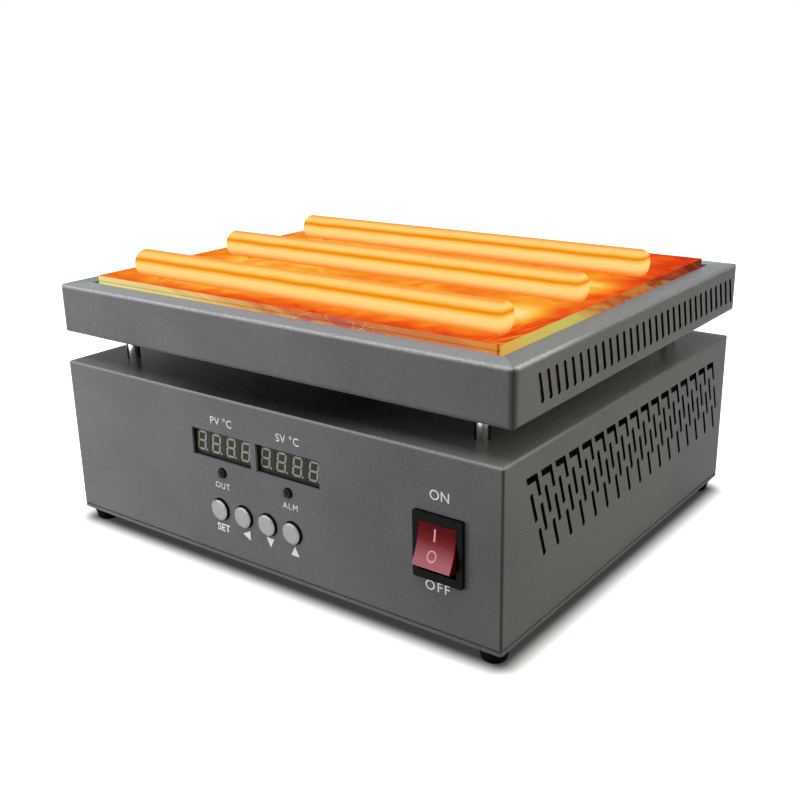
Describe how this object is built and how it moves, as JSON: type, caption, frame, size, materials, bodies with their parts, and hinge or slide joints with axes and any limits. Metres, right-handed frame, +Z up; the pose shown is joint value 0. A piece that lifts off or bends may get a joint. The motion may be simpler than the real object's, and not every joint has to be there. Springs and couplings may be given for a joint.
{
  "type": "heating platform",
  "caption": "Bench hot plate: a slotted metal tray with a heating plate and round heating tubes, on posts above a vented base with displays, buttons and a rocker switch.",
  "frame": {"origin": "centre of the footprint on the table, below the middle of the base", "axes": "+X to the right seen from the front, +Y from the front panel to the rear panel, +Z up"},
  "size_m": [0.28, 0.2515, 0.1515],
  "materials": {
    "grey_powder_coat": "fine textured powder coat",
    "black_rubber": "moulded, matte",
    "zinc_steel": "zinc plated",
    "polished_steel": "polished",
    "ceramic_board": "pressed ceramic fibre",
    "white_ceramic": "glazed ceramic",
    "hot_plate_alloy": "milled plate that glows with heat",
    "bare_aluminium": "extruded",
    "glowing_tube": "metal sheath glowing yellow with orange bands",
    "black_plastic": "moulded",
    "black_gloss_plastic": "moulded, semi-gloss",
    "display_plastic": "dark brown face with pale unlit segments",
    "green_lens": "tinted lens, unlit",
    "red_lens": "tinted lens, unlit",
    "circuit_board": "solder mask",
    "silver_plastic": "silver grey, satin",
    "red_plastic": "translucent red",
    "brass": "plated blades and pins",
    "fuse_glass": "glass tube with metal caps",
    "board_part_plastic": "moulded parts and iron core",
    "glass_sleeve": "woven glass sleeve",
    "lead_plastic": "insulated lead",
    "ribbon_plastic": "flat cable"
  },
  "bodies": {
    "housing": {"base_cover": "grey_powder_coat", "bottom_plate": "grey_powder_coat", "tray_shell": "grey_powder_coat", "feet": "black_rubber", "foot_screws": "zinc_steel", "cover_screws": "zinc_steel", "post_screws_lower": "zinc_steel", "post_screws_upper": "zinc_steel", "tray_screws": "zinc_steel", "plate_screws": "zinc_steel", "cutout_screws": "zinc_steel", "board_nuts": "zinc_steel", "board_studs": "zinc_steel", "inlet_screws": "zinc_steel", "inlet_nuts": "zinc_steel", "sink_screws": "zinc_steel", "spacer_screws": "zinc_steel", "terminal_nuts": "zinc_steel", "terminal_links": "zinc_steel", "conduit_nuts": "zinc_steel", "tray_floor": "zinc_steel", "temperature_probe": "zinc_steel", "posts": "polished_steel", "lead_conduit": "polished_steel", "insulation_board": "ceramic_board", "tube_bushes": "white_ceramic", "plate_supports": "white_ceramic", "heating_plate": "hot_plate_alloy", "heat_sink": "bare_aluminium", "heating_tube_front": "glowing_tube", "heating_tube_middle": "glowing_tube", "heating_tube_rear": "glowing_tube", "thermal_cutout": "black_plastic", "display_actual": "display_plastic", "display_set": "display_plastic", "lamp_heat": "green_lens", "lamp_alarm": "red_lens", "display_board": "circuit_board", "control_board": "circuit_board", "key_switches": "black_plastic", "switch_housing": "black_gloss_plastic", "switch_terminals": "brass", "inlet_pins": "brass", "board_spacers": "brass", "earth_stud": "brass", "inlet_housing": "black_plastic", "power_relay": "black_plastic", "board_parts": "board_part_plastic", "terminal_block": "black_plastic", "heater_leads": "glass_sleeve", "sensor_leads": "glass_sleeve", "mains_leads": "lead_plastic", "ribbon_cable": "ribbon_plastic"},
    "button_set": {"button_set": "silver_plastic"},
    "button_left": {"button_left": "silver_plastic"},
    "button_down": {"button_down": "silver_plastic"},
    "button_up": {"button_up": "silver_plastic"},
    "rocker": {"rocker": "red_plastic"},
    "fuse_drawer": {"fuse_drawer": "black_plastic", "fuse": "fuse_glass"}
  },
  "joints": [
    {"name": "button_set_press", "type": "slide", "parent": "housing", "child": "button_set", "axis": [0, 1, 0], "range_m": [0, 0.0008], "stiffness_N_per_m": 600, "springref_m": -0.0015},
    {"name": "button_left_press", "type": "slide", "parent": "housing", "child": "button_left", "axis": [0, 1, 0], "range_m": [0, 0.0008], "stiffness_N_per_m": 600, "springref_m": -0.0015},
    {"name": "button_down_press", "type": "slide", "parent": "housing", "child": "button_down", "axis": [0, 1, 0], "range_m": [0, 0.0008], "stiffness_N_per_m": 600, "springref_m": -0.0015},
    {"name": "button_up_press", "type": "slide", "parent": "housing", "child": "button_up", "axis": [0, 1, 0], "range_m": [0, 0.0008], "stiffness_N_per_m": 600, "springref_m": -0.0015},
    {"name": "rocker_tilt", "type": "hinge", "parent": "housing", "child": "rocker", "pos_m": [0.1059, -0.1176, 0.0495], "axis": [1, 0, 0], "range_deg": [0, 32]},
    {"name": "fuse_drawer_slide", "type": "slide", "parent": "housing", "child": "fuse_drawer", "axis": [0, 1, 0], "range_m": [0, 0.013]}
  ]
}
